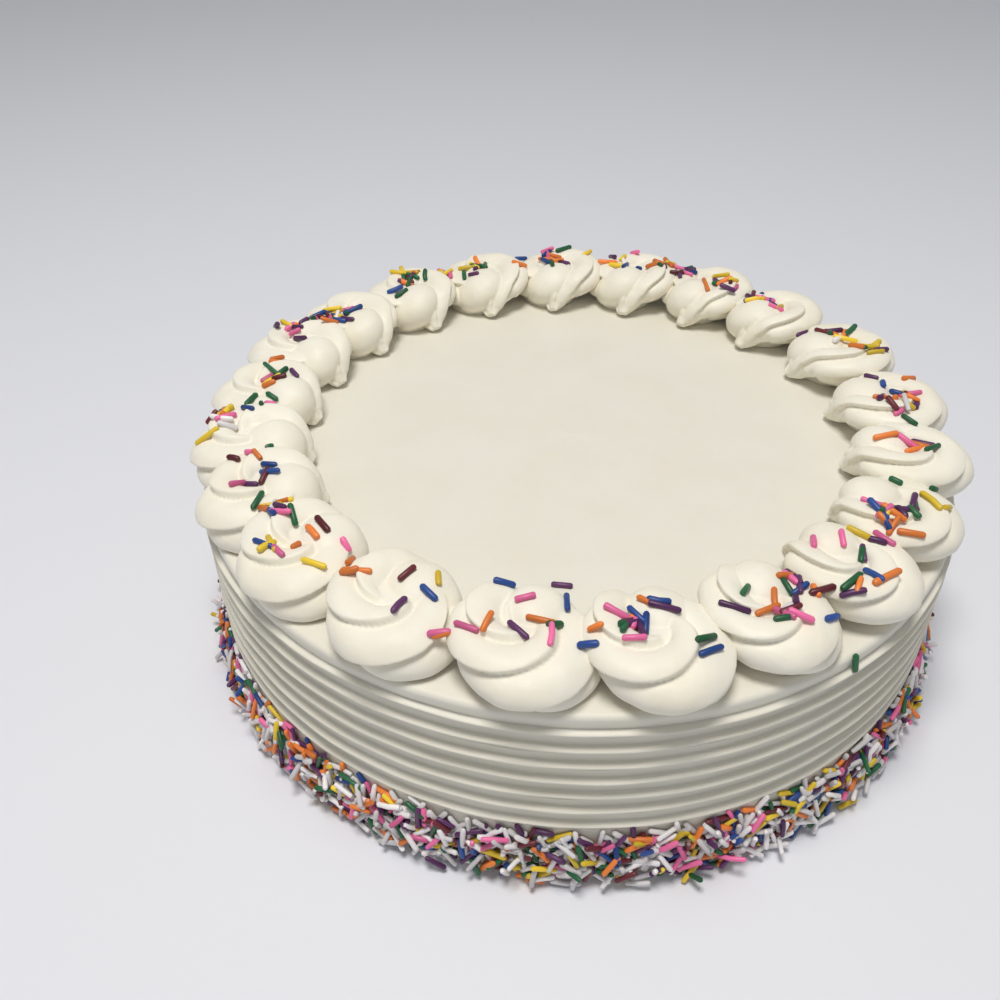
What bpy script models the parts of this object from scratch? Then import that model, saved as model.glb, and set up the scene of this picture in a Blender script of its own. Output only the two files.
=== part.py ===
"""A round vanilla cake: cream icing combed round its side, piped swirls on its rim, sprinkles.

The frame is in metres with +Z up, and its origin is the centre of the cake's flat underside.
A bearing is an angle round the cake, anticlockwise from +X when it is seen from above.
"""

import math
import random

import bmesh
import bpy
from mathutils import Matrix, Vector
from mathutils.bvhtree import BVHTree

MM = 0.001

# The iced cake
CAKE_RADIUS = 122.5 * MM          # out to the crests of the combed ridges
CAKE_HEIGHT = 66.5 * MM
CAKE_COLUMNS = 56
TOP_EDGE_ROUND = 1.5 * MM
TOP_EDGE_INSET = 0.6 * MM         # the smooth edge over the top ridge lies this far inside it
TOP_GROOVE_DEPTH = 0.5 * MM       # the shallow dip between the top ridge and that edge

# The combed side
RIDGE_COUNT = 7
RIDGE_PITCH = 6.28 * MM
LOWEST_RIDGE = 23.3 * MM
GROOVE_DEPTH = 2.2 * MM
GROOVE_FLOOR = 2.6 * MM           # width of the flat part at the bottom of a groove

# The band of sprinkles round the foot of the side
BAND_TOP = 21.5 * MM
BAND_BULGE = 2.4 * MM             # how far its middle stands out past the ridges
BULGE_START = 0.25                # how far up the half wave of the bulge its foot begins
BAND_UNEVEN = 0.7 * MM
BAND_LEVELS = (0.0, 0.25, 0.55, 0.85)        # heights of its rings, as shares of its top
BAND_WAVES = ((5, 9.0), (11, -7.0))          # waves round the cake, and their shift up the band
BAND_SPRINKLES = 100
MOST_LEAN = 80.0                  # of a sprinkle in the band, degrees from level
MOST_TILT = 0.15                  # how far one end stands out, as a share of its length
BAND_MARGIN = 1.2                 # they keep off the band's top and foot by this many half heights

# The piped swirls
SWIRL_BEARINGS = (
    -113.5, -94.5, -76.5, -59.0, -42.5, -26.0, -9.0, 8.0, 27.0, 45.5, 62.0,
    79.0, 96.0, 113.0, 130.5, 147.0, 162.5, 179.0, 195.0, 210.0, 227.0,
)
SWIRL_RING_RADIUS = 104.0 * MM
SWIRL_GAP = 0.3 * MM              # to the cake's top, and between neighbours
ROPE_FLUTES = 5
FLUTE_DEPTH = 0.34                # part of the rope's radius
FLUTE_LIP = 0.92                  # share of a flute's width from its crease to its crisp lip
FLUTE_SWELL = 0.7                 # the less it is, the fuller the flute
FLUTE_TWIST = -0.55               # turns of the flutes round the rope in one turn of the swirl
FIRST_CREASE = 127.0              # degrees round the rope where it passes the cake's rim
RIM_ANGLE = -95.0
SPREAD_ALONG = 1.13               # how far a swirl settles out past its path, along the rim
SPREAD_ACROSS = 1.20              # and across it
LEAN_ALONG = -0.30                # sideways shift for each unit of height
LEAN_INWARD = 0.12
LEAN_HEIGHT = 5.0 * MM            # what is at this height isn't shifted
BALL_RADIUS = 8.5 * MM            # the first squeeze of icing, that the rope turns round
BALL_MIDDLE = (2.6 * MM, 4.6 * MM, 7.9 * MM)
BALL_STEPS = 12
CORE_RADIUS = 10.0 * MM
CORE_HEIGHT = 15.0 * MM
CORE_LEVELS = (0.0, 0.35, 0.65, 0.9)         # heights of the core's rings, as shares of its own
PATH_STEPS = 54
ROPE_SIDES = 30
REMESH_SIZE = 0.8 * MM
SWIRL_TRIANGLES = 180

# How much one swirl may differ from the next
TURN_SPREAD = 12.0                # degrees that it is turned either way
SMALLEST_SIZE = 0.98
LARGEST_SIZE = 1.04
CREASE_SPREAD = 9.0               # degrees that its creases are turned round the rope
PLACE_SPREAD = 0.8 * MM
LEAST_SQUEEZE = 0.92
MOST_SQUEEZE = 1.07

# The way a swirl is piped, clockwise round its middle from the ball to the pulled-out tip:
# angle in degrees, where 90 faces the middle of the cake, then in millimetres the distance
# from the swirl's middle, the height of the rope's middle, and the rope's radius
PIPED_PATH = (
    (50.0, 4.0, 6.5, 6.5),
    (15.0, 6.5, 7.0, 7.6),
    (-40.0, 8.4, 7.0, 8.2),
    (-95.0, 8.8, 7.2, 8.3),
    (-150.0, 8.6, 8.2, 8.2),
    (-200.0, 7.8, 9.2, 7.8),
    (-238.0, 8.0, 8.8, 6.9),
    (-256.0, 9.8, 6.8, 5.4),
    (-263.0, 12.2, 3.6, 3.7),
    (-266.0, 14.6, 1.8, 1.7),
)

# One sprinkle
SPRINKLE_WIDTH = 2.0 * MM
SPRINKLE_SIDES = 5
SHORT_SPRINKLE = 6.5 * MM
LONG_SPRINKLE = 9.5 * MM
SPRINKLE_LIFT = 0.15              # of its width, how far its middle is above what it is pressed on
SPRINKLES_PER_SWIRL = 3
SPRINKLED_INNER = -4.0 * MM       # they lie from here, past the middle of the ring of swirls,
SPRINKLED_OUTER = 11.0 * MM       # out to here
SPRINKLED_ARC = 5.5               # and this many degrees either side of a swirl's middle
STEEPEST_REST = 0.5               # they lie only where the surface's upward share is over this
MOST_TRIES = 200

# The sprinkle that fell beside the swirls
FALLEN_BEARING = -91.0
FALLEN_DISTANCE = 75.0 * MM
FALLEN_HEADING = 87.0             # degrees from the line to the middle of the cake

BAND_SEED = 10
FIRST_SWIRL_SEED = 700
MERGE_DISTANCE = 0.002 * MM
CUT_TOLERANCE = 0.001 * MM
FLAT_TOLERANCE = 0.05 * MM
SHARP_ANGLE = 40.0                # edges sharper than this stay crisp in the shading
ICING_COLOUR = (0.86, 0.83, 0.74, 1.0)
SWIRL_COLOUR = (0.90, 0.88, 0.81, 1.0)
ICING_ROUGHNESS = 0.55


def clear_scene():
    for thing in list(bpy.data.objects):
        bpy.data.objects.remove(thing, do_unlink=True)


def icing_material(name, colour):
    material = bpy.data.materials.new(name)
    material.use_nodes = True
    shader = material.node_tree.nodes["Principled BSDF"]
    shader.inputs["Base Color"].default_value = colour
    shader.inputs["Roughness"].default_value = ICING_ROUGHNESS
    return material


def object_from(name, mesh_data, material=None):
    """Turns a bmesh into a named object and frees the bmesh."""
    mesh = bpy.data.meshes.new(name)
    mesh_data.to_mesh(mesh)
    mesh_data.free()
    thing = bpy.data.objects.new(name, mesh)
    bpy.context.scene.collection.objects.link(thing)
    if material is not None:
        mesh.materials.append(material)
    return thing


def apply_modifiers(thing):
    """Replaces an object's mesh by what its modifiers make of it."""
    bpy.context.view_layer.update()
    evaluated = thing.evaluated_get(bpy.context.evaluated_depsgraph_get())
    finished = bpy.data.meshes.new_from_object(evaluated)
    thing.modifiers.clear()
    thing.data = finished


def polar(distance, bearing, height):
    """A point of the cake from its bearing in degrees."""
    turned = math.radians(bearing)
    return Vector((distance * math.cos(turned), distance * math.sin(turned), height))


def circle(radius, count, height):
    """Points evenly spaced round the Z axis."""
    return [polar(radius, 360.0 * k / count, height) for k in range(count)]


def loft(mesh_data, rings, point=0.0):
    """Joins rings with quads, and closes both ends with fans whose tips stand out by point."""
    made = [[mesh_data.verts.new(corner) for corner in ring] for ring in rings]
    count = len(made[0])
    for lower, upper in zip(made, made[1:]):
        for k in range(count):
            after = (k + 1) % count
            mesh_data.faces.new((lower[k], lower[after], upper[after], upper[k]))
    for ring, order in ((made[0], -1), (made[-1], 1)):
        middle = sum((vertex.co for vertex in ring), Vector()) / count
        tip = mesh_data.verts.new(middle + Vector((0.0, 0.0, order * point)))
        for k in range(count):
            pair = (ring[k], ring[(k + 1) % count])[::order]
            mesh_data.faces.new((pair[0], pair[1], tip))


# The iced cake

def band_radius(height, bearing):
    """Outer radius of the sprinkle band, which bulges and is a little uneven."""
    share = min(max(height / BAND_TOP, 0.0), 1.0)
    bulge = BAND_BULGE * math.sin(math.pi * (BULGE_START + (1.0 - BULGE_START) * share))
    wander = sum(math.sin(count * bearing + shift * share) for count, shift in BAND_WAVES)
    return CAKE_RADIUS + bulge + 0.5 * BAND_UNEVEN * wander * (1.0 - share)


def comb_profile():
    """Points up the combed side: a thin crest, then a groove with a flat floor."""
    points = []
    for ridge in range(RIDGE_COUNT):
        crest = LOWEST_RIDGE + ridge * RIDGE_PITCH
        points.append((CAKE_RADIUS, crest))
        if ridge < RIDGE_COUNT - 1:
            middle = crest + RIDGE_PITCH / 2
            points.append((CAKE_RADIUS - GROOVE_DEPTH, middle - GROOVE_FLOOR / 2))
            points.append((CAKE_RADIUS - GROOVE_DEPTH, middle + GROOVE_FLOOR / 2))
    return points


def band_ring(height):
    """One uneven ring of the sprinkle band."""
    ring = []
    for column in range(CAKE_COLUMNS):
        bearing = math.tau * column / CAKE_COLUMNS
        ring.append(polar(band_radius(height, bearing), math.degrees(bearing), height))
    return ring


def cake_rings():
    """The rings of the cake from the edge of its underside to the edge of its flat top."""
    levels = [(CAKE_RADIUS - 0.5 * GROOVE_DEPTH, BAND_TOP)]
    levels += comb_profile()
    top_edge = CAKE_RADIUS - TOP_EDGE_INSET
    levels.append((top_edge - TOP_GROOVE_DEPTH, CAKE_HEIGHT - 2 * TOP_EDGE_ROUND))
    levels.append((top_edge, CAKE_HEIGHT - TOP_EDGE_ROUND))
    levels.append((top_edge - TOP_EDGE_ROUND, CAKE_HEIGHT))
    band = [band_ring(share * BAND_TOP) for share in BAND_LEVELS]
    return band + [circle(radius, CAKE_COLUMNS, height) for radius, height in levels]


def make_cake(material):
    mesh_data = bmesh.new()
    loft(mesh_data, cake_rings())
    return object_from("cake", mesh_data, material)


# Sprinkles

def make_sprinkle(middle, direction, length):
    """A short rod with pointed ends, lying along a direction."""
    mesh_data = bmesh.new()
    radius = SPRINKLE_WIDTH / 2
    ends = [0.5 * (radius - length), 0.5 * (length - radius)]
    loft(mesh_data, [circle(radius, SPRINKLE_SIDES, end) for end in ends], point=radius / 2)
    rotation = direction.to_track_quat("Z", "Y").to_matrix().to_4x4()
    mesh_data.transform(Matrix.Translation(middle) @ rotation)
    return object_from("sprinkle", mesh_data)


def fuse(target, pieces):
    """Joins pieces to a solid with one Boolean union, and keeps its largest shell."""
    if not pieces:
        return
    gathered = bpy.data.collections.new("gathered")
    bpy.context.scene.collection.children.link(gathered)
    for piece in pieces:
        bpy.context.scene.collection.objects.unlink(piece)
        gathered.objects.link(piece)
    union = target.modifiers.new("union", "BOOLEAN")
    union.operation = "UNION"
    union.operand_type = "COLLECTION"
    union.collection = gathered
    union.solver = "EXACT"
    apply_modifiers(target)
    for piece in pieces:
        bpy.data.objects.remove(piece, do_unlink=True)
    bpy.data.collections.remove(gathered)
    keep_largest_shell(target.data)


def shells_of(mesh_data):
    """Groups of joined faces."""
    waiting = set(mesh_data.faces)
    groups = []
    while waiting:
        edge_of_search = [waiting.pop()]
        group = list(edge_of_search)
        while edge_of_search:
            face = edge_of_search.pop()
            for edge in face.edges:
                for neighbour in edge.link_faces:
                    if neighbour in waiting:
                        waiting.remove(neighbour)
                        group.append(neighbour)
                        edge_of_search.append(neighbour)
        groups.append(group)
    return groups


def keep_largest_shell(mesh):
    """Fills sealed hollows and drops scraps, by deleting every shell but the largest."""
    mesh_data = bmesh.new()
    mesh_data.from_mesh(mesh)
    bmesh.ops.remove_doubles(mesh_data, verts=mesh_data.verts, dist=MERGE_DISTANCE)
    bmesh.ops.dissolve_degenerate(mesh_data, edges=mesh_data.edges, dist=MERGE_DISTANCE)
    groups = sorted(shells_of(mesh_data), key=len)
    scraps = [face for group in groups[:-1] for face in group]
    bmesh.ops.delete(mesh_data, geom=scraps, context="FACES")
    bmesh.ops.triangulate(mesh_data, faces=mesh_data.faces)
    mesh_data.to_mesh(mesh)
    mesh_data.free()


def band_sprinkles(draw):
    """Sprinkles pressed flat to the band, spread evenly by the golden angle."""
    golden = 360.0 * (math.sqrt(5.0) - 1.0) / 2.0
    pieces = []
    for number in range(BAND_SPRINKLES):
        bearing = number * golden % 360.0
        length = draw.uniform(SHORT_SPRINKLE, LONG_SPRINKLE)
        lean = math.radians(draw.uniform(-MOST_LEAN, MOST_LEAN))
        outward = polar(1.0, bearing, 0.0)
        along = polar(1.0, bearing + 90.0, 0.0)
        direction = along * math.cos(lean) + Vector((0.0, 0.0, math.sin(lean)))
        direction = (direction + outward * draw.uniform(-MOST_TILT, MOST_TILT)).normalized()
        reach = abs(direction.z) * length / 2 + SPRINKLE_WIDTH / 2
        share = (number + 0.5) / BAND_SPRINKLES
        height = reach + share * (BAND_TOP - BAND_MARGIN * reach)
        distance = band_radius(height, math.radians(bearing)) + SPRINKLE_LIFT * SPRINKLE_WIDTH
        pieces.append(make_sprinkle(polar(distance, bearing, height), direction, length))
    return pieces


def fallen_sprinkle():
    """The one that lies on the flat top, just inside the swirls."""
    height = CAKE_HEIGHT + SPRINKLE_LIFT * SPRINKLE_WIDTH
    direction = polar(1.0, FALLEN_BEARING + FALLEN_HEADING, 0.0)
    middle = polar(FALLEN_DISTANCE, FALLEN_BEARING, height)
    return make_sprinkle(middle, direction, SHORT_SPRINKLE)


# Piped swirls

def swirl_border(number):
    """Bearing half-way between a swirl and the next one round."""
    count = len(SWIRL_BEARINGS)
    here = SWIRL_BEARINGS[number % count]
    gap = (SWIRL_BEARINGS[(number + 1) % count] - here) % 360.0
    return here + gap / 2.0


def swirl_squeeze(number):
    """How much narrower or wider than usual a swirl is, from the room between its borders."""
    room = (swirl_border(number) - swirl_border(number - 1)) % 360.0
    return min(max(room * len(SWIRL_BEARINGS) / 360.0, LEAST_SQUEEZE), MOST_SQUEEZE)


def path_station(share):
    """Reads the piped path at a share of its length, on a smooth curve through its points."""
    place = share * (len(PIPED_PATH) - 1)
    first = min(int(place), len(PIPED_PATH) - 2)
    t = place - first
    nearby = [PIPED_PATH[min(max(first + step, 0), len(PIPED_PATH) - 1)]
              for step in (-1, 0, 1, 2)]
    station = []
    for before, low, high, after in zip(*nearby):
        bend = 2.0 * before - 5.0 * low + 4.0 * high - after
        turn = 3.0 * low - before - 3.0 * high + after
        station.append(low + 0.5 * t * (high - before + t * (bend + t * turn)))
    return station


def flute(angle):
    """Radius of the fluted rope: each flute swells from its crease, then ends in a crisp lip."""
    share = (ROPE_FLUTES * angle / math.tau) % 1.0
    if share < FLUTE_LIP:
        swell = math.sin(0.5 * math.pi * share / FLUTE_LIP) ** FLUTE_SWELL
    else:
        swell = math.sqrt(1.0 - ((share - FLUTE_LIP) / (1.0 - FLUTE_LIP)) ** 2)
    return 1.0 - FLUTE_DEPTH * (1.0 - swell)


def rope_rings(draw):
    """Rings of the fluted rope along its path, each a little different."""
    turned = draw.uniform(-TURN_SPREAD, TURN_SPREAD)
    size = draw.uniform(SMALLEST_SIZE, LARGEST_SIZE)
    drift = draw.uniform(-CREASE_SPREAD, CREASE_SPREAD)
    path = []
    for step in range(PATH_STEPS):
        angle, distance, height, rope = path_station(step / (PATH_STEPS - 1))
        middle = polar(size * distance * MM, angle + turned, height * MM)
        twist = drift - FIRST_CREASE - FLUTE_TWIST * (angle - RIM_ANGLE)
        path.append((middle, size * rope * MM, math.radians(twist)))
    rings = []
    for step, (middle, rope, twist) in enumerate(path):
        before = path[max(step - 1, 0)][0]
        after = path[min(step + 1, PATH_STEPS - 1)][0]
        forward = (after - before).normalized()
        across = forward.cross(Vector((0.0, 0.0, 1.0))).normalized()
        upward = across.cross(forward)
        ring = []
        for side in range(ROPE_SIDES):
            angle = math.tau * side / ROPE_SIDES
            radius = rope * flute(angle + twist)
            ring.append(middle + radius * (math.cos(angle) * across + math.sin(angle) * upward))
        rings.append(ring)
    return rings


def ball_rings():
    """The ball that the rope starts from."""
    rings = []
    for step in range(1, BALL_STEPS):
        rise = math.pi * (step / BALL_STEPS - 0.5)
        ring = circle(BALL_RADIUS * math.cos(rise), ROPE_SIDES, BALL_RADIUS * math.sin(rise))
        rings.append([point + Vector(BALL_MIDDLE) for point in ring])
    return rings


def core_rings():
    """A low dome that fills the middle of the turn."""
    rings = []
    for share in CORE_LEVELS:
        radius = CORE_RADIUS * math.sqrt(1.0 - share * share)
        rings.append(circle(radius, ROPE_SIDES, share * CORE_HEIGHT))
    return rings


def slice_off(mesh_data, point, outward):
    """Cuts away what lies on the outward side of a plane, and closes the cut."""
    everything = list(mesh_data.verts) + list(mesh_data.edges) + list(mesh_data.faces)
    cut = bmesh.ops.bisect_plane(mesh_data, geom=everything, dist=CUT_TOLERANCE,
                                 plane_co=point, plane_no=outward, clear_outer=True)
    rim = [piece for piece in cut["geom_cut"] if isinstance(piece, bmesh.types.BMEdge)]
    bmesh.ops.holes_fill(mesh_data, edges=rim)
    bmesh.ops.triangulate(mesh_data, faces=mesh_data.faces)


def swirl_limits(number):
    """The planes that a swirl keeps inside: its foot, and those half-way to its neighbours."""
    foot = Vector((0.0, 0.0, CAKE_HEIGHT + SWIRL_GAP))
    return [(foot, Vector((0.0, 0.0, -1.0)))] + wedge_sides(number)


def wedge_sides(number):
    """The two upright planes half-way to a swirl's neighbours: a point and a normal each."""
    sides = []
    for border, turned in ((swirl_border(number - 1), -90.0), (swirl_border(number), 90.0)):
        outward = polar(1.0, border + turned, 0.0)
        sides.append((-outward * SWIRL_GAP / 2, outward))
    return sides


def make_swirl(number, material):
    draw = random.Random(FIRST_SWIRL_SEED + number)
    mesh_data = bmesh.new()
    for rings in (rope_rings(draw), ball_rings(), core_rings()):
        loft(mesh_data, rings)
    for vertex in mesh_data.verts:
        above = vertex.co.z - LEAN_HEIGHT
        vertex.co += Vector((LEAN_ALONG * above, LEAN_INWARD * above, 0.0))
        vertex.co.x *= SPREAD_ALONG * swirl_squeeze(number)
        vertex.co.y *= SPREAD_ACROSS
    bearing = SWIRL_BEARINGS[number]
    distance = SWIRL_RING_RADIUS + draw.uniform(-PLACE_SPREAD, PLACE_SPREAD)
    place = Matrix.Translation(polar(distance, bearing, CAKE_HEIGHT))
    face_inward = Matrix.Rotation(math.radians(bearing + 90.0), 4, "Z")
    mesh_data.transform(place @ face_inward)
    swirl = object_from(f"swirl_{number + 1:02d}", mesh_data, material)
    remesh = swirl.modifiers.new("remesh", "REMESH")
    remesh.mode = "VOXEL"
    remesh.voxel_size = REMESH_SIZE
    apply_modifiers(swirl)
    trim_swirl(swirl.data, number)
    fewer = swirl.modifiers.new("fewer", "DECIMATE")
    fewer.ratio = SWIRL_TRIANGLES / len(swirl.data.polygons)
    fewer.use_collapse_triangulate = True
    apply_modifiers(swirl)
    press_flat(swirl.data, number)
    fuse(swirl, swirl_sprinkles(swirl, number, draw))
    swirl.data.materials.clear()
    swirl.data.materials.append(material)
    return swirl


def trim_swirl(mesh, number):
    """Gives a swirl a flat foot just over the cake, and clears it of its neighbours."""
    mesh_data = bmesh.new()
    mesh_data.from_mesh(mesh)
    for point, outward in swirl_limits(number):
        slice_off(mesh_data, point, outward)
    mesh_data.to_mesh(mesh)
    mesh_data.free()
    keep_largest_shell(mesh)


def press_flat(mesh, number):
    """Moves back onto a swirl's limits what stands a hair past them."""
    for point, outward in swirl_limits(number):
        for vertex in mesh.vertices:
            past = (vertex.co - point).dot(outward)
            if past > -FLAT_TOLERANCE:
                vertex.co -= outward * past


def swirl_sprinkles(swirl, number, draw):
    """A few sprinkles lying on the top of a swirl, clear of the swirls beside it."""
    tree = BVHTree.FromObject(swirl, bpy.context.evaluated_depsgraph_get())
    bearing = SWIRL_BEARINGS[number]
    sides = wedge_sides(number)
    pieces = []
    tries = 0
    while len(pieces) < SPRINKLES_PER_SWIRL and tries < MOST_TRIES:
        tries += 1
        distance = SWIRL_RING_RADIUS + draw.uniform(SPRINKLED_INNER, SPRINKLED_OUTER)
        aside = draw.uniform(-SPRINKLED_ARC, SPRINKLED_ARC)
        over = polar(distance, bearing + aside, 2.0 * CAKE_HEIGHT)
        spot, normal = tree.ray_cast(over, Vector((0.0, 0.0, -1.0)))[:2]
        if spot is None or normal.z < STEEPEST_REST:
            continue
        heading = polar(1.0, draw.uniform(0.0, 360.0), 0.0)
        direction = (heading - normal * heading.dot(normal)).normalized()
        length = draw.uniform(SHORT_SPRINKLE, LONG_SPRINKLE)
        middle = spot + normal * SPRINKLE_LIFT * SPRINKLE_WIDTH
        reach = length / 2 + SPRINKLE_WIDTH
        clear = all((middle - point).dot(outward) < -reach for point, outward in sides)
        if clear:
            pieces.append(make_sprinkle(middle, direction, length))
    return pieces


def shade(thing):
    """Smooth shading that keeps the crisp ridges and creases."""
    thing.data.shade_smooth()
    thing.data.set_sharp_from_angle(angle=math.radians(SHARP_ANGLE))


def main():
    clear_scene()
    draw = random.Random(BAND_SEED)
    cake = make_cake(icing_material("icing", ICING_COLOUR))
    fuse(cake, band_sprinkles(draw) + [fallen_sprinkle()])
    shade(cake)
    swirl_icing = icing_material("swirl_icing", SWIRL_COLOUR)
    for number in range(len(SWIRL_BEARINGS)):
        shade(make_swirl(number, swirl_icing))


main()
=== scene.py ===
"""The looks of the vanilla cake: fine cream icing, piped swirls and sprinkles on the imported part.

Everything is in metres in the part's own frame: +Z up, the origin in the middle of the cake's
underside, and -Y towards the viewer. A bearing is an angle round the cake in degrees,
anticlockwise from +X when it is seen from above.
"""

import math
import random

import bmesh
import bpy
import numpy as np
from mathutils import Matrix, Vector, noise
from mathutils.bvhtree import BVHTree


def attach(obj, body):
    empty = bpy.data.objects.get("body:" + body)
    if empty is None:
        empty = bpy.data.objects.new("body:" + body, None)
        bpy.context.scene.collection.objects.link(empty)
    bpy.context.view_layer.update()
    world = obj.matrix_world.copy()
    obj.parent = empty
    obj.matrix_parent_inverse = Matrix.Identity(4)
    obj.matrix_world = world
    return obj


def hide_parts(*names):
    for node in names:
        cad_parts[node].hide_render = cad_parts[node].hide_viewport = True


MM = 0.001

# The iced cake, with the part's own sizes
CAKE_RADIUS = 122.5 * MM
CAKE_HEIGHT = 66.5 * MM
TOP_EDGE_ROUND = 1.6 * MM
TOP_EDGE_RINGS = 8
CAKE_COLUMNS = 640
SIDE_STEP = 0.18 * MM
BAND_STEP = 1.0 * MM              # rings behind the sprinkles can be further apart
FINE_BELOW_BAND = 1.5 * MM        # the close rings start this far under the band's top
TOP_RINGS = 60

# The combed side
RIDGE_COUNT = 7
RIDGE_PITCH = 6.28 * MM
LOWEST_RIDGE = 23.3 * MM
GROOVE_DEPTH = 2.2 * MM
CREST_HALF = 0.055                # half a crest's rounded top, as a share of the pitch
CREST_SHELF = 0.045               # share of the pitch that its flat upper side takes up
CREST_UNDERSIDE = 0.075           # and its sloping underside
CREST_FALL = 0.10                 # share of the groove's depth that the rounded top falls
WALL_FALL = 0.86                  # that the wall under it falls
FLOOR_SCOOP = 0.04                # and by which the floor is hollow
TOP_EDGE_INSET = 1.5 * MM         # the smooth edge over the top ridge lies this far inside it
TOP_EDGE_FADE = 0.45              # pitches over which the top ridge passes into that edge
CREST_UNEVEN = 0.25 * MM          # how far a crest stands in and out
UNEVEN_INWARD = 0.5               # it is pressed in by this much more than it stands out
RIDGE_WANDER = 0.30 * MM          # how far a crest strays up and down
CALM_EDGE = 2.0 * TOP_EDGE_ROUND  # it doesn't stray this close to the top
CALM_FADE = 3.0 * MM              # and strays less and less over this height below that

# Waves round the cake: how many, their shift from one ridge to the next, and their share
CREST_WAVES = ((3, 1.7, 0.4), (13, 2.9, 0.3), (31, 5.1, 0.2))
WANDER_WAVES = ((2, 0.8, 0.6), (7, 2.0, 0.4))

# Faint waves on the flat top
RIPPLE_HEIGHT = 0.10 * MM
RIPPLE_COUNT = 5.5                # half waves from the middle to the rim
RIPPLE_SWAY = 2.0
ROLL_HEIGHT = 0.06 * MM
ROLL_COUNT = 3                    # waves round the cake
ROLL_TWIST = 9.0
TOP_DIP = 0.12 * MM               # how far the top lies under its rim
TOP_DIP_RINGS = 4                 # rings that it takes to get there

# Fine unevenness of the icing: each layer has a wavelength and a height
CAKE_UNEVENNESS = ((9.0 * MM, 0.10 * MM), (2.2 * MM, 0.03 * MM))
CAKE_NOISE_OFFSET = CAKE_HEIGHT + 1.0    # picks a part of the noise that no swirl has
SWIRL_UNEVENNESS = ((6.0 * MM, 0.35 * MM), (1.5 * MM, 0.04 * MM))

# The piped swirls, with the part's own bearings and seeds
SWIRL_BEARINGS = (
    -113.5, -94.5, -76.5, -59.0, -42.5, -26.0, -9.0, 8.0, 27.0, 45.5, 62.0,
    79.0, 96.0, 113.0, 130.5, 147.0, 162.5, 179.0, 195.0, 210.0, 227.0,
)
SWIRL_RING_RADIUS = 104.0 * MM
ROPE_FLUTES = 5
FLUTE_DEPTH = 0.34                # part of the rope's radius
FLUTE_LIP = 0.92                  # share of a flute's width from its crease to its crisp lip
FLUTE_SWELL = 0.7                 # the less it is, the fuller the flute
FLUTE_TWIST = -0.55               # turns of the flutes round the rope in one turn of the swirl
FIRST_CREASE = 127.0
RIM_ANGLE = -95.0
SPREAD_ALONG = 1.13               # how far a swirl settles out past its path, along the rim
SPREAD_ACROSS = 1.20              # and across it
LEAN_ALONG = -0.30
LEAN_INWARD = 0.12
LEAN_HEIGHT = 5.0 * MM
BALL_RADIUS = 8.5 * MM
BALL_MIDDLE = (2.6 * MM, 4.6 * MM, 7.9 * MM)
BALL_STEPS = 24
CORE_RADIUS = 10.0 * MM
CORE_HEIGHT = 15.0 * MM
CORE_LEVELS = (0.0, 0.2, 0.4, 0.6, 0.75, 0.9)    # heights of the core's rings, as shares of its own
PATH_STEPS = 150
ROPE_SIDES = 100
REMESH_SIZE = 0.36 * MM
SMOOTHING = 0.4
SWIRL_SINK = 0.4 * MM             # how far a swirl reaches into the cake's top
CUT_TOLERANCE = 0.001 * MM

# How much one swirl differs from the next
FIRST_SWIRL_SEED = 700
TURN_SPREAD = 12.0                # degrees that it is turned either way
SMALLEST_SIZE = 0.98
LARGEST_SIZE = 1.04
CREASE_SPREAD = 9.0               # degrees that its creases are turned round the rope
PLACE_SPREAD = 0.8                # mm that it strays in or out
LEAST_SQUEEZE = 0.92
MOST_SQUEEZE = 1.07

# The way a swirl is piped: angle, distance from its middle, height and rope radius in mm
PIPED_PATH = (
    (50.0, 4.0, 6.5, 6.5),
    (15.0, 6.5, 7.0, 7.6),
    (-40.0, 8.4, 7.0, 8.2),
    (-95.0, 8.8, 7.2, 8.3),
    (-150.0, 8.6, 8.2, 8.2),
    (-200.0, 7.8, 9.2, 7.8),
    (-238.0, 8.0, 8.8, 6.9),
    (-256.0, 9.8, 6.8, 5.4),
    (-263.0, 12.2, 3.6, 3.7),
    (-266.0, 14.6, 1.8, 1.7),
)

# Sprinkles
SPRINKLE_WIDTH = 1.8 * MM
BAND_WIDTH = 1.5 * MM             # those in the band are thinner
THINNEST = 0.88                   # as shares of the usual width
THICKEST = 1.12
MOST_BEND = 0.05
SPRINKLE_SIDES = 8
SHARP_ANGLE = 50.0
SHORT_SPRINKLE = 4.2 * MM
LONG_SPRINKLE = 9.2 * MM
SHORT_THROWN = 3.0 * MM           # those on the swirls, many of them broken
USUAL_THROWN = 6.2 * MM
LONG_THROWN = 9.0 * MM

# Rows of a sprinkle from end to end: its place as a share of the length, its reach as a share of
# half the width, and its shift along the sprinkle as a share of the width
ROD_ROWS = (
    (-0.5, 0.62, 0.0),
    (-0.5, 1.0, 0.30),
    (0.0, 1.0, 0.0),
    (0.5, 1.0, -0.30),
    (0.5, 0.62, 0.0),
)

# Colours as the light shows them, and how often each comes: in the band, on the swirls
SPRINKLE_KINDS = {
    "white": ((0.80, 0.775, 0.785), 49, 3),
    "pink": ((0.80, 0.15, 0.36), 8, 18),
    "yellow": ((0.82, 0.58, 0.03), 8, 15),
    "orange": ((0.82, 0.22, 0.035), 9, 17),
    "green": ((0.008, 0.115, 0.040), 8, 14),
    "blue": ((0.010, 0.060, 0.27), 7, 11),
    "purple": ((0.095, 0.020, 0.105), 7, 16),
    "maroon": ((0.13, 0.010, 0.020), 4, 8),
}
IN_BAND = 1                       # the place of each share in a kind
ON_SWIRLS = 2

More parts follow.
